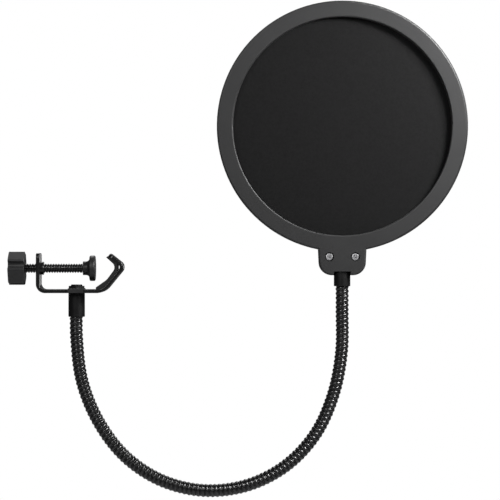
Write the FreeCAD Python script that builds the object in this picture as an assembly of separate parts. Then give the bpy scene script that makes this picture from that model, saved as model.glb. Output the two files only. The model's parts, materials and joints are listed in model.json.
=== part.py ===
import FreeCAD, Part
import math
import os

# Pop filter: a six inch screen on a gooseneck, with a screw clamp for a stand.
#
# Frame: millimetres. The origin is where the clamp screw's axis meets the lined
# seat of the hook. +X runs along the screw, from the knob to the hook, +Z is up
# and the screen faces -Y. Everything but the threads is symmetric about Y = 0.

V = FreeCAD.Vector
X_AXIS = V(1, 0, 0)
Y_AXIS = V(0, 1, 0)
Z_AXIS = V(0, 0, 1)

# Clamp bracket: one bent strip of steel
STRIP_T = 2.2
STRIP_W = 18.0
LEG_X = -48.2               # outer face of the leg that holds the nut
LEG_TOP_Z = 9.35
FLOOR_Z = -15.25            # underside of the level run
RAMP_START_X = -6.24        # where the level run would meet the rising arm
ELBOW = (7.3, 1.3)          # where the rising arm would meet the hook's lip
LIP_END = (-2.5, 9.2)
FOOT_R = 5.6                # outer bend radii
RAMP_R = 9.9
ELBOW_R = 4.1
STRIP_CORNER_R = 3.0
STRIP_EDGE_R = 0.5          # the strip's long edges are rolled round
BRACKET_POINTS = (
    (LEG_X, LEG_TOP_Z), (LEG_X, FLOOR_Z), (RAMP_START_X, FLOOR_Z), ELBOW, LIP_END)

# Lining of the hook: the side that faces the pad, then where it leaves the steel
LINER_W = 17.4
LINER_POINTS = ((-11.3, -11.7), (-4.6, -7.0), (1.35, 1.05), (-4.95, 6.8))
LINER_RADII = (8.0, 3.6)
LINER_GAP_X = 1.95
LINER_EDGE_R = 0.6

# Clamp screw, its nut, knob and pad
SCREW_R = 2.8
SCREW_START_X = -58.6
SCREW_NECK_X = -20.1
SCREW_RUN = 0.05            # running clearance in the nut
NUT_R = 4.0
NUT_FACE_X = -43.9
NUT_SHANK_R = 3.5
NUT_FLANGE_R = 4.1
NUT_FLANGE_T = 0.6
TIP_NECK_R = 1.7
TIP_HEAD_R = 2.35
TIP_HEAD_X = (-18.4, -15.1)
PAD_HUB_R = 4.25
PAD_HUB_X = -19.7
PAD_LIP_X = -18.7
PAD_DISC_X = -15.6          # back of the disc, where the flare ends
PAD_FACE_X = -12.07
PAD_FLARE_R = 2.3           # concave, from hub to disc
PAD_DISC_R = 7.9
PAD_RIM_R = 0.8
PAD_LIP_R = 1.9
PAD_BORE_R = 2.6
PAD_BORE_END_X = -14.8
KNOB_X = (-65.6, -55.6)
KNOB_R = 10.25
KNOB_LOBE_FLAT = 9.2        # from the axis to each lobe's flat face
KNOB_TURN_DEG = 31.0
KNOB_GROOVE_R = 2.1
KNOB_GROOVE_AT = 9.7
KNOB_CHAMFER = 0.35

# Base of the neck
NECK_X = -23.7
FERRULE_R = 5.1
BASE_FERRULE_Z = (-30.0, FLOOR_Z)
FERRULE_CHAMFER = 0.3
HOSE_SOCKET_DEPTH = 10.0
STUD_R = 3.0
STUD_HOLE_R = 3.2
STUD_TOP_Z = -10.4
STUD_DEPTH = 3.2            # how far the stud goes into the ferrule
WASHER_X = 9.5              # its cheeks fold down over the strip's edges
WASHER_T = 0.7
WASHER_LOW_Z = -15.1
WASHER_GAP = 0.1
NUT_FLATS = 9.4
NUT_HEIGHT = 1.45
NUT_CORNER_DROP = 0.35      # the cone that turns down the corners
COLLAR_R = 3.5              # collar of the nut, which holds its locking ring
COLLAR_HEIGHT = 0.85
COLLAR_EDGE_R = 0.3

# Gooseneck: a straight run, three tangent arcs that turn it back up, and a
# straight run to the head. The middle arc's radius follows from the distance
# between the two ends, and the top run's length from their heights.
HOSE_R = 4.1
NECK_LOW_RUN = 13.6
NECK_LOW_ARC = (104.0, 39.0)        # radius, degrees
NECK_HIGH_ARC = (121.5, 24.5)
NECK_JOINTS = 12
BALL_GAP = 0.3

# Head: two moulded rings around two layers of mesh
RING_X = 140.6
RING_Z = 87.7
RING_R = 77.5
OPENING_R = 67.4
RING_HALF_T = 6.0
WALL = 1.6
RING_EDGE_R = 1.2
MESH_R = 75.0
MESH_T = 0.4
SPACER_R = (68.2, 75.4)
SPACER_HALF_T = 1.6
TAB_TOP_W = 30.4
TAB_BOTTOM_W = 28.2
TAB_BOTTOM_Z = -4.3
TAB_CORNER_R = 8.0
TAB_NOTCH_W = 10.6
TAB_NOTCH_H = 2.4
TOP_FERRULE_Z = (-11.1, 8.6)
GRIP_GROOVE_Z = (3.6, 4.6)  # groove in the top ferrule, gripped by the shell
GRIP_GROOVE_R = 4.6
GRIP_PLAY = 0.1
LAP_T = 0.75                # tongue of the rear rim inside the front rim
LAP_H = 1.0
LAP_PLAY = 0.05
LIP_EDGE_R = 0.9
TAB_SCREW_DX = 8.0
TAB_SCREW_Z = 7.1
TAB_SCREW_HEAD_R = 2.4
TAB_SCREW_HEAD_T = 1.7
TAB_SCREW_SINK = 0.5        # head below the front face
TAB_SCREW_R = 1.2
TAB_SCREW_LENGTH = 8.5
TAB_SCREW_PLAY = 0.05
TAB_SCREW_SINK_R = 2.75
TAB_SCREW_DOME_R = 0.7
CROSS_HALF_W = 0.3
CROSS_REACH = 1.5
CROSS_DEPTH = 1.0
CROSS_TURNS = (38.0, 52.0)  # degrees, one for each screw


# ---------------------------------------------------------------- helpers

def cylinder(radius, low, high, axis, x=0.0, y=0.0, z=0.0):
    """A cylinder from low to high along an axis that passes through (x, y, z)."""
    start = V(x, y, z) + axis * low
    return Part.makeCylinder(radius, high - low, start, axis)


def box(x, y, z):
    """A box given by its (low, high) pairs."""
    return Part.makeBox(x[1] - x[0], y[1] - y[0], z[1] - z[0], V(x[0], y[0], z[0]))


def rounded_edges(points, radii):
    """Lines and tangent arcs in the XZ plane through open corner points."""
    edges = []
    start = V(points[0][0], 0, points[0][1])
    for i, radius in enumerate(radii, 1):
        corner = V(points[i][0], 0, points[i][1])
        back = (V(points[i - 1][0], 0, points[i - 1][1]) - corner).normalize()
        ahead = (V(points[i + 1][0], 0, points[i + 1][1]) - corner).normalize()
        half = back.getAngle(ahead) / 2
        reach = radius / math.tan(half)
        centre = corner + (back + ahead).normalize() * (radius / math.sin(half))
        first = corner + back * reach
        last = corner + ahead * reach
        middle = centre + (corner - centre).normalize() * radius
        edges.append(Part.LineSegment(start, first).toShape())
        edges.append(Part.Arc(first, middle, last).toShape())
        start = last
    end = V(points[-1][0], 0, points[-1][1])
    edges.append(Part.LineSegment(start, end).toShape())
    return edges


def shifted(points, distance):
    """The open line through points, moved to its left by a distance."""
    lines = []
    for (x0, z0), (x1, z1) in zip(points, points[1:]):
        length = math.hypot(x1 - x0, z1 - z0)
        dx, dz = (x1 - x0) / length, (z1 - z0) / length
        lines.append((x0 - dz * distance, z0 + dx * distance, dx, dz, length))
    moved = [lines[0][:2]]
    for (ax, az, adx, adz, _), (bx, bz, bdx, bdz, _) in zip(lines, lines[1:]):
        along = ((bx - ax) * bdz - (bz - az) * bdx) / (adx * bdz - adz * bdx)
        moved.append((ax + adx * along, az + adz * along))
    x, z, dx, dz, length = lines[-1]
    moved.append((x + dx * length, z + dz * length))
    return moved


def strip(points, radii, thickness, width):
    """A bent strip: points and radii give its right-hand side, seen along +Y."""
    outer = rounded_edges(points, radii)
    inner_points = shifted(points, thickness)
    inner = rounded_edges(inner_points, [r - thickness for r in radii])
    ends = []
    for i in (0, -1):
        a = V(points[i][0], 0, points[i][1])
        b = V(inner_points[i][0], 0, inner_points[i][1])
        ends.append(Part.LineSegment(a, b).toShape())
    wire = Part.Wire(Part.__sortEdges__(outer + inner + ends))
    solid = Part.Face(wire).extrude(Y_AXIS * width)
    solid.translate(Y_AXIS * (-width / 2))
    return solid


def edges_where(shape, test):
    """The straight edges whose middle point passes a test."""
    return [e for e in shape.Edges if test(e.CenterOfMass, e)]


def save(shape, name):
    """Write one sub-part as its own STEP file."""
    shape = shape.removeSplitter()
    if not shape.isValid():
        raise RuntimeError(name + " is not valid")
    shape.exportStep("parts/" + name + ".step")


# ---------------------------------------------------------------- clamp

def clamp_bracket():
    """The strip: leg with the nut, level run, rising arm and hook lip."""
    body = strip(BRACKET_POINTS, (FOOT_R, RAMP_R, ELBOW_R), STRIP_T, STRIP_W)
    side = STRIP_W / 2
    corners = edges_where(
        body,
        lambda p, e: abs(abs(p.y) - side) < 0.01 and abs(e.Length - STRIP_T) < 0.01
        and (p.z > LEG_TOP_Z - 0.01 or p.x > LIP_END[0] - 3 and p.z > 7.0))
    body = body.makeFillet(STRIP_CORNER_R, corners)
    # every edge of the two flat sides, but not the seams between their faces
    seams = (STRIP_T, STRIP_W)
    rims = [e for e in body.Edges if all(abs(e.Length - length) > 0.01 for length in seams)]
    body = body.makeFillet(STRIP_EDGE_R, rims)
    screw_hole = cylinder(NUT_SHANK_R, LEG_X - 1, LEG_X + STRIP_T + 1, X_AXIS)
    stud_hole = cylinder(STUD_HOLE_R, FLOOR_Z - 1, FLOOR_Z + STRIP_T + 1, Z_AXIS, x=NECK_X)
    return body.cut(screw_hole).cut(stud_hole)


def clamp_nut():
    """Round threaded nut, pressed through the leg and flared over outside."""
    inner_face = LEG_X + STRIP_T
    collar = cylinder(NUT_R, inner_face, NUT_FACE_X, X_AXIS)
    shank = cylinder(NUT_SHANK_R, LEG_X, inner_face, X_AXIS)
    flange = cylinder(NUT_FLANGE_R, LEG_X - NUT_FLANGE_T, LEG_X, X_AXIS)
    bore = cylinder(SCREW_R + SCREW_RUN, LEG_X - 2, NUT_FACE_X + 1, X_AXIS)
    return collar.fuse([shank, flange]).cut(bore)


def hook_liner():
    """Moulded lining: fills the bend below the arm and bridges the elbow."""
    steel = shifted(BRACKET_POINTS, STRIP_T)
    (ramp_x, floor_z), (elbow_x, elbow_z), (lip_x, lip_z) = steel[2:]
    rise = (elbow_z - floor_z) / (elbow_x - ramp_x)
    fall = (lip_z - elbow_z) / (lip_x - elbow_x)
    leaves = (LINER_GAP_X, elbow_z + rise * (LINER_GAP_X - elbow_x))
    returns = (LINER_GAP_X, elbow_z + fall * (LINER_GAP_X - elbow_x))
    front = rounded_edges(LINER_POINTS, LINER_RADII)
    back = rounded_edges(
        ((LINER_POINTS[0][0], floor_z), (ramp_x, floor_z), leaves), (RAMP_R - STRIP_T,))
    rest = (leaves, returns, (lip_x, lip_z), LINER_POINTS[-1])
    back += Part.makePolygon([V(x, 0, z) for x, z in rest]).Edges
    first = [V(LINER_POINTS[0][0], 0, z) for z in (floor_z, LINER_POINTS[0][1])]
    back.append(Part.LineSegment(first[0], first[1]).toShape())
    wire = Part.Wire(Part.__sortEdges__(front + back))
    solid = Part.Face(wire).extrude(Y_AXIS * LINER_W)
    solid.translate(Y_AXIS * (-LINER_W / 2))
    middles = [e.CenterOfMass for e in front]
    rims = edges_where(
        solid,
        lambda p, e: abs(abs(p.y) - LINER_W / 2) < 0.01
        and any(math.hypot(p.x - m.x, p.z - m.z) < 0.01 for m in middles))
    return solid.makeFillet(LINER_EDGE_R, rims)


def pressure_pad():
    """Swivelling pad: hub, flare and disc, snapped over the screw's tip."""
    hub = cylinder(PAD_HUB_R, PAD_HUB_X, PAD_DISC_X, X_AXIS)
    disc = cylinder(PAD_DISC_R, PAD_DISC_X, PAD_FACE_X, X_AXIS)
    body = hub.fuse(disc).removeSplitter()
    corner = [e for e in body.Edges if e.Closed and abs(e.Length - math.tau * PAD_HUB_R) < 0.01
              and abs(e.CenterOfMass.x - PAD_DISC_X) < 0.01]
    body = body.makeFillet(PAD_FLARE_R, corner)
    rims = [e for e in body.Edges if abs(e.Length - math.tau * PAD_DISC_R) < 0.01]
    body = body.makeFillet(PAD_RIM_R, rims)
    lip = cylinder(PAD_LIP_R, PAD_HUB_X - 1, PAD_LIP_X, X_AXIS)
    bore = cylinder(PAD_BORE_R, PAD_LIP_X, PAD_BORE_END_X, X_AXIS)
    return body.cut(lip).cut(bore)


def clamp_screw():
    """The screw's shank at its thread's outside size, with a snap-in tip."""
    shank = cylinder(SCREW_R, SCREW_START_X, SCREW_NECK_X, X_AXIS)
    shank = shank.makeChamfer(0.4, [e for e in shank.Edges if abs(e.CenterOfMass.x - SCREW_NECK_X) < 0.01])
    neck = cylinder(TIP_NECK_R, SCREW_NECK_X, TIP_HEAD_X[0], X_AXIS)
    head = cylinder(TIP_HEAD_R, TIP_HEAD_X[0], TIP_HEAD_X[1], X_AXIS)
    head = head.makeChamfer(0.4, [e for e in head.Edges if abs(e.CenterOfMass.x - TIP_HEAD_X[1]) < 0.01])
    return shank.fuse([neck, head])


def clamp_knob():
    """Four-lobed knob: a square with rounded corners, grooved between lobes."""
    low, high = KNOB_X
    blank = cylinder(KNOB_R, low, high, X_AXIS)
    blank = blank.makeChamfer(KNOB_CHAMFER, [e for e in blank.Edges if e.Closed])
    flat = KNOB_LOBE_FLAT
    square = box((low - 1, high + 1), (-flat, flat), (-flat, flat))
    knob = blank.common(square)
    grooves = []
    for i in range(4):
        turn = math.radians(45 + 90 * i)
        y = KNOB_GROOVE_AT * math.cos(turn)
        z = KNOB_GROOVE_AT * math.sin(turn)
        grooves.append(cylinder(KNOB_GROOVE_R, low - 1, high + 1, X_AXIS, y=y, z=z))
    knob = knob.cut(grooves[0].fuse(grooves[1:]))
    knob = knob.cut(cylinder(SCREW_R, SCREW_START_X, high + 1, X_AXIS))
    knob.rotate(V(0, 0, 0), X_AXIS, KNOB_TURN_DEG)
    return knob


# ---------------------------------------------------------------- base of the neck

def neck_cradle_washer():
    """U-shaped washer on top of the strip, folded down over its two edges."""
    low = FLOOR_Z + STRIP_T
    side = (NECK_X - WASHER_X / 2, NECK_X + WASHER_X / 2)
    inner = STRIP_W / 2 + WASHER_GAP
    outer = inner + WASHER_T
    body = box(side, (-outer, outer), (low, low + WASHER_T))
    for cheek in ((-outer, -inner), (inner, outer)):
        body = body.fuse(box(side, cheek, (WASHER_LOW_Z, low + WASHER_T)))
    body = body.removeSplitter()
    folds = edges_where(
        body,
        lambda p, e: abs(abs(p.y) - outer) < 0.01 and abs(p.z - low - WASHER_T) < 0.01)
    body = body.makeFillet(WASHER_T - 0.05, folds)
    hole = cylinder(STUD_HOLE_R, low - 1, low + WASHER_T + 1, Z_AXIS, x=NECK_X)
    return body.cut(hole)


def neck_hex_nut():
    """Thin hexagon lock nut with a round collar, which holds the neck on the strip."""
    low = FLOOR_Z + STRIP_T + WASHER_T
    top = low + NUT_HEIGHT
    corner_r = NUT_FLATS / math.sqrt(3)
    corners = []
    for i in range(7):
        turn = math.radians(30 + 60 * i)
        corners.append(V(NECK_X + corner_r * math.cos(turn), corner_r * math.sin(turn), low))
    prism = Part.Face(Part.makePolygon(corners)).extrude(Z_AXIS * NUT_HEIGHT)
    top_r = corner_r - NUT_CORNER_DROP
    cone = Part.makeCone(top_r + NUT_HEIGHT, top_r, NUT_HEIGHT, V(NECK_X, 0, low), Z_AXIS)
    collar = cylinder(COLLAR_R, low, top + COLLAR_HEIGHT, Z_AXIS, x=NECK_X)
    rim = [e for e in collar.Edges if e.Closed and e.CenterOfMass.z > top]
    collar = collar.makeFillet(COLLAR_EDGE_R, rim)
    nut = prism.common(cone).fuse(collar)
    return nut.cut(cylinder(STUD_R, low - 1, top + COLLAR_HEIGHT + 1, Z_AXIS, x=NECK_X))


def neck_stud():
    """Threaded stud from the ferrule up through washer, strip and nut."""
    stud = cylinder(STUD_R, BASE_FERRULE_Z[1] - STUD_DEPTH, STUD_TOP_Z, Z_AXIS, x=NECK_X)
    top = [e for e in stud.Edges if e.Closed and e.CenterOfMass.z > STUD_TOP_Z - 0.01]
    return stud.makeChamfer(0.5, top)


def ferrule(x, low, high):
    """Turned sleeve with a socket for the hose in its lower end."""
    body = cylinder(FERRULE_R, low, high, Z_AXIS, x=x)
    body = body.makeChamfer(FERRULE_CHAMFER, [e for e in body.Edges if e.Closed])
    return body.cut(cylinder(HOSE_R, low, low + HOSE_SOCKET_DEPTH, Z_AXIS, x=x))


def base_ferrule():
    """Sleeve at the foot of the neck, threaded for the stud."""
    low, high = BASE_FERRULE_Z
    body = ferrule(NECK_X, low, high)
    return body.cut(cylinder(STUD_R, high - STUD_DEPTH, high, Z_AXIS, x=NECK_X))


def top_ferrule():
    """Sleeve at the top of the neck, gripped between the shells."""
    low, high = GRIP_GROOVE_Z
    ring = cylinder(FERRULE_R + 1, low, high, Z_AXIS, x=RING_X)
    ring = ring.cut(cylinder(GRIP_GROOVE_R, low, high, Z_AXIS, x=RING_X))
    return ferrule(RING_X, TOP_FERRULE_Z[0], TOP_FERRULE_Z[1]).cut(ring)


# ---------------------------------------------------------------- gooseneck

def neck_runs():
    """The neck's low run, its three arcs as (radius, turn), and its high run."""
    low_r, low_turn = NECK_LOW_ARC[0], math.radians(NECK_LOW_ARC[1])
    high_r, high_turn = NECK_HIGH_ARC[0], math.radians(NECK_HIGH_ARC[1])
    middle_turn = math.pi - low_turn - high_turn
    across = RING_X - NECK_X
    across -= low_r * (1 - math.cos(low_turn)) + high_r * (1 - math.cos(high_turn))
    middle_r = across / (math.cos(low_turn) + math.cos(high_turn))
    drop = NECK_LOW_RUN + (low_r - middle_r) * math.sin(low_turn)
    climb = (high_r - middle_r) * math.sin(high_turn)
    high_run = TOP_FERRULE_Z[0] - BASE_FERRULE_Z[0] + drop - climb
    arcs = ((low_r, low_turn), (middle_r, middle_turn), (high_r, high_turn))
    return NECK_LOW_RUN, arcs, high_run


def neck_length():
    """Length of the neck's centre line between its two ferrules."""
    low_run, arcs, high_run = neck_runs()
    return low_run + sum(radius * turn for radius, turn in arcs) + high_run


def neck_point(distance):
    """The point on the centre line at a distance along it from the base."""
    low_run, arcs, _ = neck_runs()
    x, z, heading = NECK_X, BASE_FERRULE_Z[0], -math.pi / 2
    step = min(distance, low_run)
    z -= step
    distance -= step
    for radius, turn in arcs:
        swept = min(distance / radius, turn)
        x += radius * (math.sin(heading + swept) - math.sin(heading))
        z -= radius * (math.cos(heading + swept) - math.cos(heading))
        heading += swept
        distance -= swept * radius
    return V(x + distance * math.cos(heading), 0, z + distance * math.sin(heading))


def neck_pivots():
    """Evenly spaced points where the neck's sections meet."""
    spacing = neck_length() / NECK_JOINTS
    return [neck_point(spacing * (i + 0.5)) for i in range(NECK_JOINTS)]


def neck_section(start, end, begins_at_joint, ends_at_joint):
    """A round bar with a socket at the joint it starts from and a ball at its last."""
    along = end - start
    body = Part.makeCylinder(HOSE_R, along.Length, start, along)
    if ends_at_joint:
        body = body.fuse(Part.makeSphere(HOSE_R, end))
    if begins_at_joint:
        body = body.cut(Part.makeSphere(HOSE_R + BALL_GAP, start))
    return body


def neck_sections():
    """Every section of the hose, from the base ferrule to the top one."""
    base_end = V(NECK_X, 0, BASE_FERRULE_Z[0] + HOSE_SOCKET_DEPTH)
    top_end = V(RING_X, 0, TOP_FERRULE_Z[0] + HOSE_SOCKET_DEPTH)
    points = [base_end] + neck_pivots() + [top_end]
    last = len(points) - 2
    return [
        neck_section(points[i], points[i + 1], i > 0, i < last) for i in range(last + 1)]


# ---------------------------------------------------------------- head

def ring_section(radii, y):
    """A plain ring about the screen's axis, between two radii and two depths."""
    low, high = y
    outer = cylinder(radii[1], low, high, Y_AXIS, x=RING_X, z=RING_Z)
    return outer.cut(cylinder(radii[0], low - 1, high + 1, Y_AXIS, x=RING_X, z=RING_Z))


def tab_outline():
    """Outline of the tab below the ring, with the notch over the ferrule."""
    top, bottom, notch = TAB_TOP_W / 2, TAB_BOTTOM_W / 2, TAB_NOTCH_W / 2
    low = TAB_BOTTOM_Z
    high = RING_Z - OPENING_R - WALL
    left = rounded_edges(
        ((RING_X - top, high), (RING_X - bottom, low), (RING_X - notch, low)), (TAB_CORNER_R,))
    right = rounded_edges(
        ((RING_X + notch, low), (RING_X + bottom, low), (RING_X + top, high)), (TAB_CORNER_R,))
    lip = Part.makePolygon([
        V(RING_X - notch, 0, low),
        V(RING_X - notch, 0, low + TAB_NOTCH_H),
        V(RING_X + notch, 0, low + TAB_NOTCH_H),
        V(RING_X + notch, 0, low)]).Edges
    lid = Part.LineSegment(V(RING_X + top, 0, high), V(RING_X - top, 0, high)).toShape()
    return Part.Wire(Part.__sortEdges__(left + lip + right + [lid]))


def tab_screw_axes():
    """X of each screw in the tab."""
    return (RING_X - TAB_SCREW_DX, RING_X + TAB_SCREW_DX)


def soften(body):
    """Round the face's outer edge, round ring and tab, and the opening's edge."""
    notch_z = TAB_BOTTOM_Z + TAB_NOTCH_H
    outer, inner = [], []
    for edge in body.Edges:
        bounds = edge.BoundBox
        if max(abs(bounds.YMin + RING_HALF_T), abs(bounds.YMax + RING_HALF_T)) > 0.01:
            continue
        middle = edge.valueAt((edge.FirstParameter + edge.LastParameter) / 2)
        reach = math.hypot(middle.x - RING_X, middle.z - RING_Z)
        if reach < OPENING_R + 0.01:
            inner.append(edge)
        elif reach > RING_R - 0.01 and middle.z < notch_z and abs(middle.x - RING_X) < FERRULE_R + 1:
            continue
        elif reach > RING_R - 0.01 and abs(middle.z - notch_z) > 0.01:
            outer.append(edge)
    return body.makeFillet(LIP_EDGE_R, inner).makeFillet(RING_EDGE_R, outer)


def ring_shell():
    """Half of the head, facing -Y: channel-shaped ring with half of the tab."""
    face = (-RING_HALF_T, -RING_HALF_T + WALL)
    rim = ring_section((RING_R - WALL, RING_R), (-RING_HALF_T, 0.0))
    lip = ring_section((OPENING_R, OPENING_R + WALL), (-RING_HALF_T, -SPACER_HALF_T - MESH_T))
    plate = ring_section((OPENING_R, RING_R), face)
    tab = Part.Face(tab_outline()).extrude(Y_AXIS * -RING_HALF_T)
    tab = tab.cut(cylinder(RING_R - WALL, -RING_HALF_T, 0.0, Y_AXIS, x=RING_X, z=RING_Z))
    body = soften(rim.fuse([lip, plate, tab]).removeSplitter())
    return body.cut(cylinder(FERRULE_R, TAB_BOTTOM_Z - 1, TOP_FERRULE_Z[1], Z_AXIS, x=RING_X))


def front_ring():
    """Front shell: screw seats, the rib that grips the ferrule, rim with a rebate."""
    body = ring_shell()
    seat = -RING_HALF_T + TAB_SCREW_SINK + TAB_SCREW_HEAD_T
    for x in tab_screw_axes():
        sink = cylinder(TAB_SCREW_SINK_R, -RING_HALF_T - 1, seat, Y_AXIS, x=x, z=TAB_SCREW_Z)
        hole = cylinder(TAB_SCREW_R + TAB_SCREW_PLAY, seat, 1, Y_AXIS, x=x, z=TAB_SCREW_Z)
        body = body.cut(sink).cut(hole)
    inner = RING_R - WALL
    rebate = ring_section((inner - 1, inner + LAP_T), (-LAP_H - LAP_PLAY, 1))
    low, high = GRIP_GROOVE_Z
    rib = cylinder(FERRULE_R + 0.3, low + GRIP_PLAY, high - GRIP_PLAY, Z_AXIS, x=RING_X)
    rib = rib.cut(cylinder(GRIP_GROOVE_R + GRIP_PLAY, low, high, Z_AXIS, x=RING_X))
    front = box((RING_X - RING_HALF_T, RING_X + RING_HALF_T), (-RING_HALF_T, 0), (low, high))
    return body.cut(rebate).fuse(rib.common(front))


def rear_ring():
    """Rear shell: pilot holes for the screws and the rim's tongue."""
    body = ring_shell()
    body.rotate(V(RING_X, 0, 0), Z_AXIS, 180)
    end = -RING_HALF_T + TAB_SCREW_SINK + TAB_SCREW_HEAD_T + TAB_SCREW_LENGTH
    for x in tab_screw_axes():
        body = body.cut(
            cylinder(TAB_SCREW_R + TAB_SCREW_PLAY, -1, end + 0.3, Y_AXIS, x=x, z=TAB_SCREW_Z))
    inner = RING_R - WALL
    tongue = ring_section((inner, inner + LAP_T - LAP_PLAY), (-LAP_H, 1.0))
    return body.fuse(tongue)


def tab_screw(x, turn):
    """Cross-recessed pan-head screw, driven from the front and left at a turn."""
    top = -RING_HALF_T + TAB_SCREW_SINK
    seat = top + TAB_SCREW_HEAD_T
    z = TAB_SCREW_Z
    head = cylinder(TAB_SCREW_HEAD_R, top, seat, Y_AXIS, x=x, z=z)
    dome = [e for e in head.Edges if e.Closed and abs(e.CenterOfMass.y - top) < 0.01]
    head = head.makeFillet(TAB_SCREW_DOME_R, dome)
    shank = cylinder(TAB_SCREW_R, seat, seat + TAB_SCREW_LENGTH, Y_AXIS, x=x, z=z)
    tip = [e for e in shank.Edges if e.Closed and e.CenterOfMass.y > seat + 1]
    shank = shank.makeChamfer(TAB_SCREW_R / 2, tip)
    depth = (top - 1, top + CROSS_DEPTH)
    narrow = (x - CROSS_HALF_W, x + CROSS_HALF_W), depth, (z - CROSS_REACH, z + CROSS_REACH)
    wide = (x - CROSS_REACH, x + CROSS_REACH), depth, (z - CROSS_HALF_W, z + CROSS_HALF_W)
    screw = head.fuse(shank).removeSplitter().cut(box(*narrow).fuse(box(*wide)))
    screw.rotate(V(x, 0, z), Y_AXIS, turn)
    return screw


def tab_screws():
    """The two screws that hold the shells together at the tab."""
    return Part.Compound([tab_screw(x, turn) for x, turn in zip(tab_screw_axes(), CROSS_TURNS)])


def mesh_disc(low, high):
    """One stretched layer of mesh."""
    return cylinder(MESH_R, low, high, Y_AXIS, x=RING_X, z=RING_Z)


def main():
    os.makedirs("parts", exist_ok=True)
    near = SPACER_HALF_T
    far = SPACER_HALF_T + MESH_T
    parts = {
        "clamp_bracket": clamp_bracket(),
        "clamp_nut": clamp_nut(),
        "hook_liner": hook_liner(),
        "pressure_pad": pressure_pad(),
        "clamp_screw": clamp_screw(),
        "clamp_knob": clamp_knob(),
        "neck_cradle_washer": neck_cradle_washer(),
        "neck_hex_nut": neck_hex_nut(),
        "neck_stud": neck_stud(),
        "base_ferrule": base_ferrule(),
        "top_ferrule": top_ferrule(),
        "front_ring": front_ring(),
        "rear_ring": rear_ring(),
        "mesh_spacer_ring": ring_section(SPACER_R, (-near, near)),
        "front_mesh": mesh_disc(-far, -near),
        "rear_mesh": mesh_disc(near, far),
        "tab_screws": tab_screws(),
    }
    for i, section in enumerate(neck_sections()):
        parts["gooseneck_section_%02d" % i] = section
    for name, shape in parts.items():
        save(shape, name)
    print("neck length", round(neck_length(), 2), "middle arc", round(neck_runs()[1][1][0], 2))
    for i, p in enumerate(neck_pivots()):
        print("neck joint", i, round(p.x, 3), round(p.z, 3))


main()
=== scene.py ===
import json
import math

import bpy
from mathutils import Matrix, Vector


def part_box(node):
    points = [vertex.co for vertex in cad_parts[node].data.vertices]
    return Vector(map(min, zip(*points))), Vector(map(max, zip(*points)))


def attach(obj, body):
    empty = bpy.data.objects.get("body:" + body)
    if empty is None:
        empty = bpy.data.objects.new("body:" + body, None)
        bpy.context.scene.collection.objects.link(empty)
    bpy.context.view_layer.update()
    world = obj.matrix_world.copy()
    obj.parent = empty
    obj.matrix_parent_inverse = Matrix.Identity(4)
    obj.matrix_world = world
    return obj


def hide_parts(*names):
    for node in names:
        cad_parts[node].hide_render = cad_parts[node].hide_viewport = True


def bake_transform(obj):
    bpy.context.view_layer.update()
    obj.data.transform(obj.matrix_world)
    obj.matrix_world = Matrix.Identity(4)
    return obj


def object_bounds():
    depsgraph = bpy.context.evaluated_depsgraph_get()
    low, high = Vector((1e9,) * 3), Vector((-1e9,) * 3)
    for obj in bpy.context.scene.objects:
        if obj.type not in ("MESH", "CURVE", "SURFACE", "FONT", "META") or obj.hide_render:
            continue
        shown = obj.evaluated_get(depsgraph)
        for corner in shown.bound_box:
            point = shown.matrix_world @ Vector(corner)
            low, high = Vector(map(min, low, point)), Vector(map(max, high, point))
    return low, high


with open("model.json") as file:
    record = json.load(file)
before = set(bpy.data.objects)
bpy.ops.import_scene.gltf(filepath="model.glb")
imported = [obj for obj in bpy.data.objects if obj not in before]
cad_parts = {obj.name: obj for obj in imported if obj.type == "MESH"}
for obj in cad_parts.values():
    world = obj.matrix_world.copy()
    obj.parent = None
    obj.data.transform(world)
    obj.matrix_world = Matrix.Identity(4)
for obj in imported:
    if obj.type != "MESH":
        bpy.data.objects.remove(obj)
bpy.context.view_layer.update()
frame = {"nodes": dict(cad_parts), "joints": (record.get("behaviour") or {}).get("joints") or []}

MM = 0.001
NODES = frame["nodes"]
JOINTS = {joint["name"]: joint for joint in frame["joints"]}
Y_AXIS = Vector((0, 1, 0))


# ---------------------------------------------------------------- camera and light

CAMERA_AT = Vector((83.6, -1400.0, 11.3)) * MM
HALF_VIEW = 154.75 * MM         # half of the view's width at the object


def add_camera():
    data = bpy.data.cameras.new("camera")
    data.sensor_width = 36.0
    data.lens = data.sensor_width / 2 * -CAMERA_AT.y / HALF_VIEW
    camera = bpy.data.objects.new("camera", data)
    camera.location = CAMERA_AT
    camera.rotation_euler = (math.pi / 2, 0, 0)
    bpy.context.scene.collection.objects.link(camera)
    bpy.context.scene.camera = camera


def add_softbox(name, target, azimuth, elevation, distance, size, power):
    """An area light that faces target. Azimuth is to the right of the camera's side."""
    turn, rise = math.radians(azimuth), math.radians(elevation)
    away = Vector((
        math.sin(turn) * math.cos(rise), -math.cos(turn) * math.cos(rise), math.sin(rise)))
    data = bpy.data.lights.new(name, "AREA")
    data.shape = "RECTANGLE"
    data.size, data.size_y = size
    data.energy = power
    light = bpy.data.objects.new(name, data)
    light.location = target + away * distance
    light.rotation_euler = away.to_track_quat("Z", "Y").to_euler()
    light.visible_camera = False
    bpy.context.scene.collection.objects.link(light)


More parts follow.
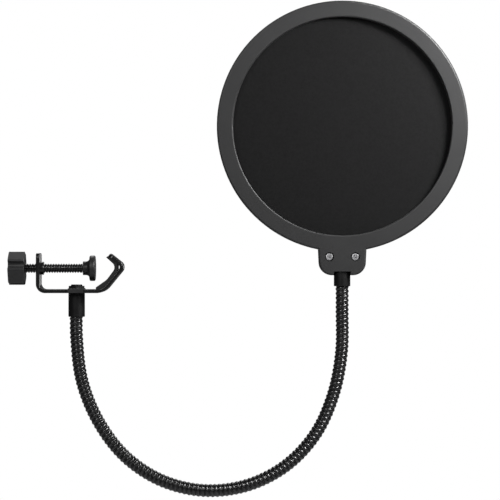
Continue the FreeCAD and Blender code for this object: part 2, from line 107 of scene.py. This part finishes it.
def add_world(strength, lighting):
    """White behind the object, and a dimmer even light on it."""
    world = bpy.data.worlds.new("studio")
    world.use_nodes = True
    nodes, links = world.node_tree.nodes, world.node_tree.links
    nodes.clear()
    path = nodes.new("ShaderNodeLightPath")
    seen = nodes.new("ShaderNodeBackground")
    seen.inputs["Strength"].default_value = strength
    lit = nodes.new("ShaderNodeBackground")
    lit.inputs["Strength"].default_value = lighting
    for background in (seen, lit):
        background.inputs["Color"].default_value = (1, 1, 1, 1)
    mix = nodes.new("ShaderNodeMixShader")
    out = nodes.new("ShaderNodeOutputWorld")
    links.new(path.outputs["Is Camera Ray"], mix.inputs["Fac"])
    links.new(lit.outputs[0], mix.inputs[1])
    links.new(seen.outputs[0], mix.inputs[2])
    links.new(mix.outputs[0], out.inputs["Surface"])
    bpy.context.scene.world = world


# ---------------------------------------------------------------- materials

def start_material(name):
    """A new material with its shader, and a texture vector in the row frame."""
    material = bpy.data.materials.new(name)
    material.use_nodes = True
    tree = material.node_tree
    shader = tree.nodes["Principled BSDF"]
    place = tree.nodes.new("ShaderNodeTexCoord").outputs["Object"]
    return material, tree, shader, place


def add_noise(tree, place, scale, detail):
    noise = tree.nodes.new("ShaderNodeTexNoise")
    noise.inputs["Scale"].default_value = scale
    noise.inputs["Detail"].default_value = detail
    tree.links.new(place, noise.inputs["Vector"])
    return noise.outputs["Fac"]


def spread(tree, value, low, high):
    """Map a texture's value to a range for a number socket."""
    node = tree.nodes.new("ShaderNodeMapRange")
    node.inputs["From Min"].default_value = 0.3
    node.inputs["From Max"].default_value = 0.7
    node.inputs["To Min"].default_value = low
    node.inputs["To Max"].default_value = high
    tree.links.new(value, node.inputs["Value"])
    return node.outputs["Result"]


def two_greys(tree, value, dark, light):
    """Map a texture's value to a neutral colour between two greys."""
    ramp = tree.nodes.new("ShaderNodeValToRGB")
    first, last = ramp.color_ramp.elements
    first.position, last.position = 0.3, 0.7
    first.color = (dark, dark, dark * 1.02, 1)
    last.color = (light, light, light * 1.02, 1)
    tree.links.new(value, ramp.inputs["Fac"])
    return ramp.outputs["Color"]


def add_bump(tree, shader, height, distance, strength=1.0):
    bump = tree.nodes.new("ShaderNodeBump")
    bump.inputs["Distance"].default_value = distance
    bump.inputs["Strength"].default_value = strength
    tree.links.new(height, bump.inputs["Height"])
    tree.links.new(bump.outputs["Normal"], shader.inputs["Normal"])


def moulded_plastic(name, grey, rough, grain_mm, relief_mm):
    """Matte moulded plastic with a spark-eroded grain."""
    material, tree, shader, place = start_material(name)
    cloud = add_noise(tree, place, 60, 3)
    grain = add_noise(tree, place, 1 / (grain_mm * MM), 2)
    tree.links.new(two_greys(tree, cloud, grey * 0.93, grey * 1.07), shader.inputs["Base Color"])
    tree.links.new(spread(tree, grain, rough - 0.06, rough + 0.06), shader.inputs["Roughness"])
    add_bump(tree, shader, grain, relief_mm * MM)
    return material


def coated_steel(name, grey, rough, peel_mm, relief_mm, coat=0.0, specular=0.5):
    """Black paint or powder coat with a fine orange peel."""
    material, tree, shader, place = start_material(name)
    peel = add_noise(tree, place, 1 / (peel_mm * MM), 1)
    cloud = add_noise(tree, place, 150, 3)
    tree.links.new(two_greys(tree, cloud, grey * 0.85, grey * 1.15), shader.inputs["Base Color"])
    tree.links.new(spread(tree, cloud, rough - 0.05, rough + 0.05), shader.inputs["Roughness"])
    shader.inputs["Coat Weight"].default_value = coat
    shader.inputs["Coat Roughness"].default_value = 0.18
    shader.inputs["Specular IOR Level"].default_value = specular
    add_bump(tree, shader, peel, relief_mm * MM)
    return material


def plated_steel(name):
    """Bright zinc plate with fine turning marks."""
    material, tree, shader, place = start_material(name)
    marks = add_noise(tree, place, 2500, 3)
    tree.links.new(two_greys(tree, marks, 0.66, 0.8), shader.inputs["Base Color"])
    tree.links.new(spread(tree, marks, 0.34, 0.48), shader.inputs["Roughness"])
    shader.inputs["Metallic"].default_value = 1.0
    add_bump(tree, shader, marks, 0.006 * MM)
    return material


def soft_rubber(name, grey):
    """Satin rubber with a faint mottling."""
    material, tree, shader, place = start_material(name)
    mottle = add_noise(tree, place, 900, 4)
    tree.links.new(two_greys(tree, mottle, grey * 0.8, grey * 1.2), shader.inputs["Base Color"])
    tree.links.new(spread(tree, mottle, 0.5, 0.62), shader.inputs["Roughness"])
    add_bump(tree, shader, mottle, 0.02 * MM)
    return material


def woven_nylon(name, grey, pitch_mm):
    """Plain weave of black yarn: two crossed sets of ridges, over and under. Its colour follows
    their height: painted shade darkens the hollows between the yarns, and the slub varies the
    yarn's own tone.
    """
    material, tree, shader, place = start_material(name)
    nodes, links = tree.nodes, tree.links
    bands = []
    for direction in ("X", "Z"):
        wave = nodes.new("ShaderNodeTexWave")
        wave.bands_direction = direction
        wave.inputs["Scale"].default_value = 1 / (pitch_mm * MM) * math.pi / 10
        wave.inputs["Distortion"].default_value = 0.0
        links.new(place, wave.inputs["Vector"])
        bands.append(wave.outputs["Fac"])
    weave = nodes.new("ShaderNodeMath")
    weave.operation = "MAXIMUM"
    links.new(bands[0], weave.inputs[0])
    links.new(bands[1], weave.inputs[1])
    slub = add_noise(tree, place, 700, 4)
    mixed = nodes.new("ShaderNodeMath")
    mixed.operation = "MULTIPLY"
    links.new(weave.outputs[0], mixed.inputs[0])
    links.new(spread(tree, slub, 0.75, 1.1), mixed.inputs[1])
    # painted shade: the ramp darkens the weave's low places, the hollows between yarns, to 0.35
    # of the yarn's grey
    ramp = nodes.new("ShaderNodeValToRGB")
    first, last = ramp.color_ramp.elements
    first.position, last.position = 0.25, 0.95
    first.color = (grey * 0.35, grey * 0.35, grey * 0.36, 1)
    last.color = (grey * 1.25, grey * 1.25, grey * 1.27, 1)
    links.new(mixed.outputs[0], ramp.inputs["Fac"])
    links.new(ramp.outputs["Color"], shader.inputs["Base Color"])
    shader.inputs["Roughness"].default_value = 0.85
    shader.inputs["Specular IOR Level"].default_value = 0.12
    shader.inputs["Sheen Weight"].default_value = 0.06
    shader.inputs["Sheen Roughness"].default_value = 0.5
    add_bump(tree, shader, mixed.outputs[0], 0.08 * MM, 0.7)
    return material


def white_floor(name):
    """Pale floor, lit so evenly that it runs into the white behind it."""
    material, tree, shader, place = start_material(name)
    cloud = add_noise(tree, place, 3, 2)
    tree.links.new(two_greys(tree, cloud, 0.56, 0.6), shader.inputs["Base Color"])
    shader.inputs["Roughness"].default_value = 0.9
    path = tree.nodes.new("ShaderNodeLightPath")
    seen = tree.nodes.new("ShaderNodeEmission")
    mix = tree.nodes.new("ShaderNodeMixShader")
    tree.links.new(path.outputs["Is Camera Ray"], mix.inputs["Fac"])
    tree.links.new(shader.outputs[0], mix.inputs[1])
    tree.links.new(seen.outputs[0], mix.inputs[2])
    tree.links.new(mix.outputs[0], tree.nodes["Material Output"].inputs["Surface"])
    return material


# ---------------------------------------------------------------- mesh helpers

def add_mesh(name, points, faces, material, smooth=True):
    mesh = bpy.data.meshes.new(name)
    mesh.from_pydata([tuple(p) for p in points], [], faces)
    mesh.update()
    mesh.shade_smooth() if smooth else mesh.shade_flat()
    mesh.materials.append(material)
    piece = bpy.data.objects.new(name, mesh)
    bpy.context.scene.collection.objects.link(piece)
    return piece


def tube_faces(rings, around, first=0):
    """Quads between rings of points, and a cap at each end."""
    faces = []
    for i in range(rings - 1):
        for j in range(around):
            a = first + i * around + j
            b = first + i * around + (j + 1) % around
            faces.append((a, b, b + around, a + around))
    faces.append(tuple(first + j for j in reversed(range(around))))
    faces.append(tuple(first + (rings - 1) * around + j for j in range(around)))
    return faces


def paint(node, material):
    """Give a CAD node its material."""
    slots = NODES[node].data.materials
    slots.clear()
    slots.append(material)


def sharpen(piece, degrees):
    """Smooth shading that breaks at edges sharper than an angle."""
    piece.data.set_sharp_from_angle(angle=math.radians(degrees))


# ---------------------------------------------------------------- gooseneck

HOSE_PITCH = 2.83 * MM
COIL_R = 1.3 * MM               # round spring wire
FILLER_R = 0.3 * MM             # thinner wire wound between its turns
FILLER_SUNK = 0.35 * MM         # its crest below the coil's
STEPS_PER_TURN = 26
SPLINE_STEPS = 48


def neck_joint_points():
    """Where the hose starts, bends and ends, in order along it."""
    names = ["neck_swing", "neck_lower_bend"]
    names += ["neck_lower_bend_%d" % i for i in range(2, 6)]
    names += ["neck_upper_bend"]
    names += ["neck_upper_bend_%d" % i for i in range(2, 6)]
    names += ["head_tilt"]
    bends = [JOINTS[name] for name in names]
    points = [Vector(joint["pos_m"]) for joint in bends]
    base = Vector((points[0].x, 0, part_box("gooseneck_section_00")[1].z))
    top = Vector((points[-1].x, 0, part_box("gooseneck_section_12")[1].z))
    return bends, [base] + points + [top]


class Centreline:
    """A smooth line through points in the plane Y = 0, measured along its length."""

    def __init__(self, points):
        ends = [points[0] * 2 - points[1]] + points + [points[-1] * 2 - points[-2]]
        self.line = []
        self.marks = []
        length = 0.0
        for i in range(1, len(ends) - 2):
            for k in range(SPLINE_STEPS):
                point = self.curve(ends[i - 1:i + 3], k / SPLINE_STEPS)
                if self.line:
                    length += (point - self.line[-1][1]).length
                if k == 0:
                    self.marks.append(length)
                self.line.append((length, point))
        length += (points[-1] - self.line[-1][1]).length
        self.marks.append(length)
        self.line.append((length, points[-1]))

    @staticmethod
    def curve(p, t):
        """Catmull-Rom curve between p[1] and p[2]."""
        return 0.5 * (
            2 * p[1] + (p[2] - p[0]) * t + (2 * p[0] - 5 * p[1] + 4 * p[2] - p[3]) * t * t
            + (3 * p[1] - p[0] - 3 * p[2] + p[3]) * t ** 3)

    def at(self, length):
        """Point and direction at a length along the line."""
        low, high = 0, len(self.line) - 1
        while high - low > 1:
            middle = (low + high) // 2
            if self.line[middle][0] <= length:
                low = middle
            else:
                high = middle
        (s0, a), (s1, b) = self.line[low], self.line[low + 1]
        share = (length - s0) / (s1 - s0)
        before = self.line[max(low - 1, 0)][1]
        after = self.line[min(low + 2, len(self.line) - 1)][1]
        along = ((b - before).normalized() * (1 - share) + (after - a).normalized() * share)
        return a.lerp(b, share), along.normalized()

    def around(self, length, turn, radius):
        """A point beside the line, at an angle about it."""
        point, along = self.at(length)
        side = Y_AXIS.cross(along)
        return point + side * (radius * math.cos(turn)) + Y_AXIS * (radius * math.sin(turn))


def wire(line, start, end, radius, centre_r, lag, around):
    """A round wire wound about the line: rings of points, and how many rings."""
    steps = max(2, round((end - start) / HOSE_PITCH * STEPS_PER_TURN))
    points = []
    for i in range(steps + 1):
        s = start + (end - start) * i / steps
        turn = math.tau * (s - lag) / HOSE_PITCH
        for j in range(around):
            lean = math.tau * j / around
            points.append(line.around(
                s + radius * math.sin(lean), turn, centre_r + radius * math.cos(lean)))
    return points, steps + 1


def add_gooseneck(material):
    """Two wires wound together, in one piece for each joint of the neck."""
    bends, points = neck_joint_points()
    line = Centreline(points)
    low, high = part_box("gooseneck_section_12")
    hose_r = (high.x - low.x) / 2
    inset = 3 * MM
    mouth = points[0].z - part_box("base_ferrule")[0].z
    last_mouth = points[-1].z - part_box("top_ferrule")[0].z
    cuts = [mouth]
    cuts += [(a + b) / 2 for a, b in zip(line.marks[1:-2], line.marks[2:-1])]
    cuts += [line.marks[-1] - last_mouth]
    coil_around, filler_around = 16, 8
    for i, joint in enumerate(bends):
        start, end = cuts[i], cuts[i + 1]
        from_s = start - inset if i == 0 else start
        to_s = end + inset if i == len(bends) - 1 else end
        coil, rings = wire(line, from_s, to_s, COIL_R, hose_r - COIL_R, 0, coil_around)
        faces = tube_faces(rings, coil_around)
        filler, filler_rings = wire(
            line, from_s, to_s, FILLER_R, hose_r - FILLER_SUNK - FILLER_R,
            HOSE_PITCH / 2, filler_around)
        faces += tube_faces(filler_rings, filler_around, len(coil))
        piece = add_mesh("hose_bend_%02d" % i, coil + filler, faces, material)
        sharpen(piece, 50)
        replaced = ["gooseneck_section_%02d" % i]
        if i == len(bends) - 1:
            replaced.append("gooseneck_section_%02d" % (i + 1))
        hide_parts(*replaced)
        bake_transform(piece)


# ---------------------------------------------------------------- clamp

THREAD_PITCH = 1.6 * MM
THREAD_DEPTH = 0.55 * MM
THREAD_RUNOUT = 1.2 * MM        # the groove fades out over this length
THREAD_STEPS = 14               # rings of points for each turn
TIP_GAP = 0.4 * MM              # from the thread's end to the pad
TIP_NECK_R = 1.7 * MM
TIP_HEAD_R = 2.35 * MM
TIP_HEAD_L = 3.3 * MM
TIP_CHAMFER = 0.4 * MM


def lathe(name, profile, around, material, groove):
    """Turn (x, radius) pairs about the X axis, less a groove(x, turn)."""
    points = []
    for x, radius in profile:
        for j in range(around):
            turn = 2 * math.pi * j / around
            r = radius - groove(x, turn)
            points.append((x, r * math.cos(turn), r * math.sin(turn)))
    return add_mesh(name, points, tube_faces(len(profile), around), material)


def add_screw(material):
    """The clamp screw with a real right-hand thread and a snap-in tip."""
    low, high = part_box("clamp_screw")
    radius = (high.y - low.y) / 2
    thread_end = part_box("pressure_pad")[0].x - TIP_GAP

    def groove(x, turn):
        phase = (x / THREAD_PITCH - turn / (2 * math.pi)) % 1
        shape = 0.5 - 0.5 * math.cos(2 * math.pi * phase)
        shape = min(1.0, max(0.0, 1.5 * shape - 0.35))
        fade = min(1.0, max(0.0, (thread_end - 0.3 * MM - x) / THREAD_RUNOUT))
        return THREAD_DEPTH * shape * fade

    count = round((thread_end - low.x) / THREAD_PITCH * THREAD_STEPS)
    profile = [(low.x + (thread_end - low.x) * i / count, radius) for i in range(count)]
    profile += [
        (thread_end - 0.02 * MM, radius * 0.9),
        (thread_end, TIP_NECK_R),
        (high.x - TIP_HEAD_L, TIP_NECK_R),
        (high.x - TIP_HEAD_L + 0.05 * MM, TIP_HEAD_R),
        (high.x - TIP_CHAMFER, TIP_HEAD_R),
        (high.x, TIP_HEAD_R - TIP_CHAMFER)]
    piece = lathe("clamp_screw_thread", profile, 40, material, groove)
    sharpen(piece, 45)
    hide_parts("clamp_screw")
    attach(piece, "screw")


# ---------------------------------------------------------------- screen

SCREEN_RINGS = 60
SCREEN_AROUND = 144
SCREEN_T = 0.3 * MM
PULL_COUNT = 9                  # faint waves where the rings pull the cloth's edge
PULL_HEIGHT = 0.06 * MM


def add_screen(name, node, facing, material):
    """One stretched layer of cloth, a fine grid of rings pulled almost flat."""
    low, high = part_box(node)
    centre = (low + high) / 2
    radius = (high.x - low.x) / 2
    rings, around = SCREEN_RINGS, SCREEN_AROUND
    points = [centre.copy()]
    for i in range(1, rings + 1):
        r = radius * i / rings
        for j in range(around):
            turn = 2 * math.pi * j / around
            pull = PULL_HEIGHT * math.sin(PULL_COUNT * turn) * (i / rings) ** 6
            point = centre + Vector((r * math.cos(turn), facing * pull, r * math.sin(turn)))
            points.append(point)
    faces = [(0, 1 + (j + 1) % around, 1 + j) for j in range(around)]
    for i in range(rings - 1):
        for j in range(around):
            a = 1 + i * around + j
            b = 1 + i * around + (j + 1) % around
            faces.append((a, b, b + around, a + around))
    if facing > 0:
        faces = [tuple(reversed(f)) for f in faces]
    piece = add_mesh(name, points, faces, material)
    thick = piece.modifiers.new("thickness", "SOLIDIFY")
    thick.thickness = SCREEN_T
    thick.offset = 0.0
    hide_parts(node)
    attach(piece, "head")


# ---------------------------------------------------------------- scene

FLOOR_GAP = 160 * MM            # from the neck down to the floor
FLOOR_REACH = 12.0


def add_floor():
    """Pale floor well below the neck."""
    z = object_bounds()[0].z - FLOOR_GAP
    reach = FLOOR_REACH
    corners = [(-reach, -reach, z), (reach, -reach, z), (reach, reach, z), (-reach, reach, z)]
    add_mesh("floor", corners, [(0, 1, 2, 3)], white_floor("floor_white"), False)


def add_lights():
    """Two softboxes in front, one close to the ring's upper right, and two behind."""
    low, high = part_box("front_mesh")
    head = (low + high) / 2
    middle = Vector((head.x * 0.6, 0, -head.z * 0.2))
    for name, target, azimuth, elevation, distance, size, power in (
            ("left", middle, -29, 26, 1.0, (0.34, 0.34), 2.7),
            ("right", middle, 42, 26, 0.9, (0.3, 0.34), 2.0),
            ("near", head, 58, 28, 0.3, (0.1, 0.1), 2.1),
            ("behind", Vector((0, 0, 0)), 174.7, -0.7, 1.2, (0.08, 0.09), 0.035),
            ("back", middle, 180, 45, 1.2, (0.5, 0.5), 3)):
        add_softbox(name, target, azimuth, elevation, distance, size, power)


def main():
    bpy.context.scene.view_settings.view_transform = "Standard"
    add_camera()
    add_world(1.0, 0.07)
    add_lights()
    add_floor()

    ring = moulded_plastic("ring_plastic", 0.02, 0.5, 0.35, 0.02)
    knob = moulded_plastic("knob_plastic", 0.022, 0.5, 0.3, 0.02)
    pad = moulded_plastic("pad_plastic", 0.018, 0.42, 0.4, 0.015)
    spacer = moulded_plastic("spacer_plastic", 0.02, 0.55, 0.4, 0.02)
    strip = coated_steel("strip_paint", 0.005, 0.3, 1.2, 0.006, 0.3)
    nut = coated_steel("nut_steel", 0.008, 0.3, 0.8, 0.006, 0.3)
    washer = coated_steel("washer_steel", 0.014, 0.5, 0.8, 0.006)
    sleeve = coated_steel("ferrule_paint", 0.004, 0.45, 0.8, 0.005, 0.0, 0.3)
    hose = coated_steel("hose_steel", 0.005, 0.3, 1.5, 0.006, 0.6)
    thread = coated_steel("screw_steel", 0.006, 0.3, 0.8, 0.005, 0.4)
    rubber = soft_rubber("liner_rubber", 0.005)
    cloth = woven_nylon("mesh_fabric", 0.008, 0.55)
    plated = plated_steel("tab_screw_steel")

    for node, material in (
            ("clamp_bracket", strip), ("clamp_nut", nut), ("hook_liner", rubber),
            ("neck_cradle_washer", washer), ("neck_hex_nut", nut), ("neck_stud", nut),
            ("base_ferrule", sleeve), ("top_ferrule", sleeve), ("pressure_pad", pad),
            ("clamp_knob", knob), ("front_ring", ring), ("rear_ring", ring),
            ("mesh_spacer_ring", spacer), ("tab_screws", plated)):
        paint(node, material)

    add_gooseneck(hose)
    add_screw(thread)
    add_screen("front_screen", "front_mesh", -1, cloth)
    add_screen("rear_screen", "rear_mesh", 1, cloth)


main()
